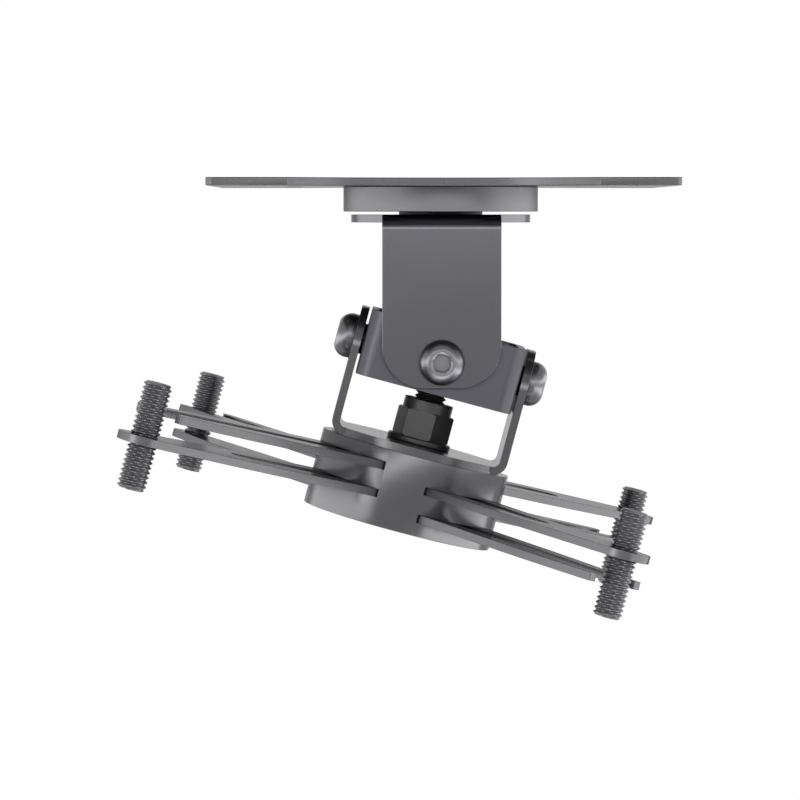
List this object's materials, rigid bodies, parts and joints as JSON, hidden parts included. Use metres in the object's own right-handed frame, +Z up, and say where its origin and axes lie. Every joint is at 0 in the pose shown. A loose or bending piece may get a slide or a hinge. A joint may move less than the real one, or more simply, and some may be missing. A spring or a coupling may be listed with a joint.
{
  "type": "projector ceiling mount",
  "caption": "Ceiling mount with a swivel plate, a two-axis folded yoke joint and a hub with sliding forked arms that end in hollow threaded studs",
  "frame": {"origin": "middle of the ceiling plate's top face", "axes": "+Z up into the ceiling, X to the viewer's right as pictured, Y away from the viewer"},
  "size_m": [0.204, 0.2054, 0.1624],
  "materials": {
    "grey_sheet": "satin grey powder coat on folded sheet",
    "grey_turned": "satin grey powder coat on turned steel",
    "arm_steel": "satin grey powder coat on laser-cut sheet",
    "black_oxide": "black oxide on steel",
    "bright_screw": "zinc-plated steel",
    "stud_steel": "dark zinc-plated thread"
  },
  "bodies": {
    "ceiling": {"ceiling_plate": "grey_sheet", "swivel_boss": "grey_turned", "boss_screws": "bright_screw", "pan_bolt": "black_oxide", "swivel_washer": "black_oxide", "pan_nut_washer": "black_oxide", "pan_lock_nut": "black_oxide"},
    "upper_yoke_body": {"upper_yoke": "grey_sheet"},
    "tilt_body": {"tilt_block": "grey_sheet", "pivot_screw_front": "bright_screw", "pivot_washer_front": "black_oxide", "pivot_spacer_front": "black_oxide", "pivot_nut_front": "black_oxide", "pivot_screw_back": "bright_screw", "pivot_washer_back": "black_oxide", "pivot_spacer_back": "black_oxide", "pivot_nut_back": "black_oxide", "pivot_screw_left": "bright_screw", "pivot_washer_left": "black_oxide", "pivot_spacer_left": "black_oxide", "pivot_nut_left": "black_oxide", "pivot_screw_right": "bright_screw", "pivot_washer_right": "black_oxide", "pivot_spacer_right": "black_oxide", "pivot_nut_right": "black_oxide"},
    "lower_yoke_body": {"lower_yoke": "grey_sheet"},
    "hub_body": {"hub_disc_1": "grey_turned", "hub_disc_2": "grey_turned", "hub_disc_3": "grey_turned", "hub_disc_4": "grey_turned", "hub_base": "grey_turned", "hub_bolt": "black_oxide", "hub_washer": "black_oxide", "hub_lock_nut": "black_oxide"},
    "arm_body_1": {"arm_1": "arm_steel"},
    "stud_body_1": {"stud_1": "stud_steel"},
    "arm_body_2": {"arm_2": "arm_steel"},
    "stud_body_2": {"stud_2": "stud_steel"},
    "arm_body_3": {"arm_3": "arm_steel"},
    "stud_body_3": {"stud_3": "stud_steel"},
    "arm_body_4": {"arm_4": "arm_steel"},
    "stud_body_4": {"stud_4": "stud_steel"}
  },
  "joints": [
    {"name": "pan", "type": "hinge", "parent": "ceiling", "child": "upper_yoke_body", "pos_m": [0, 0, -0.0135], "axis": [0, 0, 1], "continuous": true},
    {"name": "roll", "type": "hinge", "parent": "upper_yoke_body", "child": "tilt_body", "pos_m": [0, 0, -0.0686], "axis": [0, 1, 0], "range_deg": [-35, 5]},
    {"name": "pitch", "type": "hinge", "parent": "tilt_body", "child": "lower_yoke_body", "pos_m": [0, 0, -0.0686], "axis": [0.9659, 0, -0.2588], "range_deg": [-20, 20]},
    {"name": "swivel", "type": "hinge", "parent": "lower_yoke_body", "child": "hub_body", "pos_m": [-0.0094, 0, -0.10366], "axis": [0.2588, 0, 0.9659], "continuous": true},
    {"name": "arm_1_slide", "type": "slide", "parent": "hub_body", "child": "arm_body_1", "axis": [0.7234, 0.6626, -0.1938], "range_m": [-0.07, 0.05]},
    {"name": "stud_1_height", "type": "slide", "parent": "arm_body_1", "child": "stud_body_1", "axis": [0.2588, 0, 0.9659], "range_m": [-0.008, 0.008]},
    {"name": "arm_2_slide", "type": "slide", "parent": "hub_body", "child": "arm_body_2", "axis": [0.64, -0.749, -0.1715], "range_m": [-0.07, 0.05]},
    {"name": "stud_2_height", "type": "slide", "parent": "arm_body_2", "child": "stud_body_2", "axis": [0.2588, 0, 0.9659], "range_m": [-0.008, 0.008]},
    {"name": "arm_3_slide", "type": "slide", "parent": "hub_body", "child": "arm_body_3", "axis": [-0.7234, -0.6626, 0.1938], "range_m": [-0.07, 0.05]},
    {"name": "stud_3_height", "type": "slide", "parent": "arm_body_3", "child": "stud_body_3", "axis": [0.2588, 0, 0.9659], "range_m": [-0.008, 0.008]},
    {"name": "arm_4_slide", "type": "slide", "parent": "hub_body", "child": "arm_body_4", "axis": [-0.64, 0.749, 0.1715], "range_m": [-0.07, 0.05]},
    {"name": "stud_4_height", "type": "slide", "parent": "arm_body_4", "child": "stud_body_4", "axis": [0.2588, 0, 0.9659], "range_m": [-0.008, 0.008]}
  ]
}
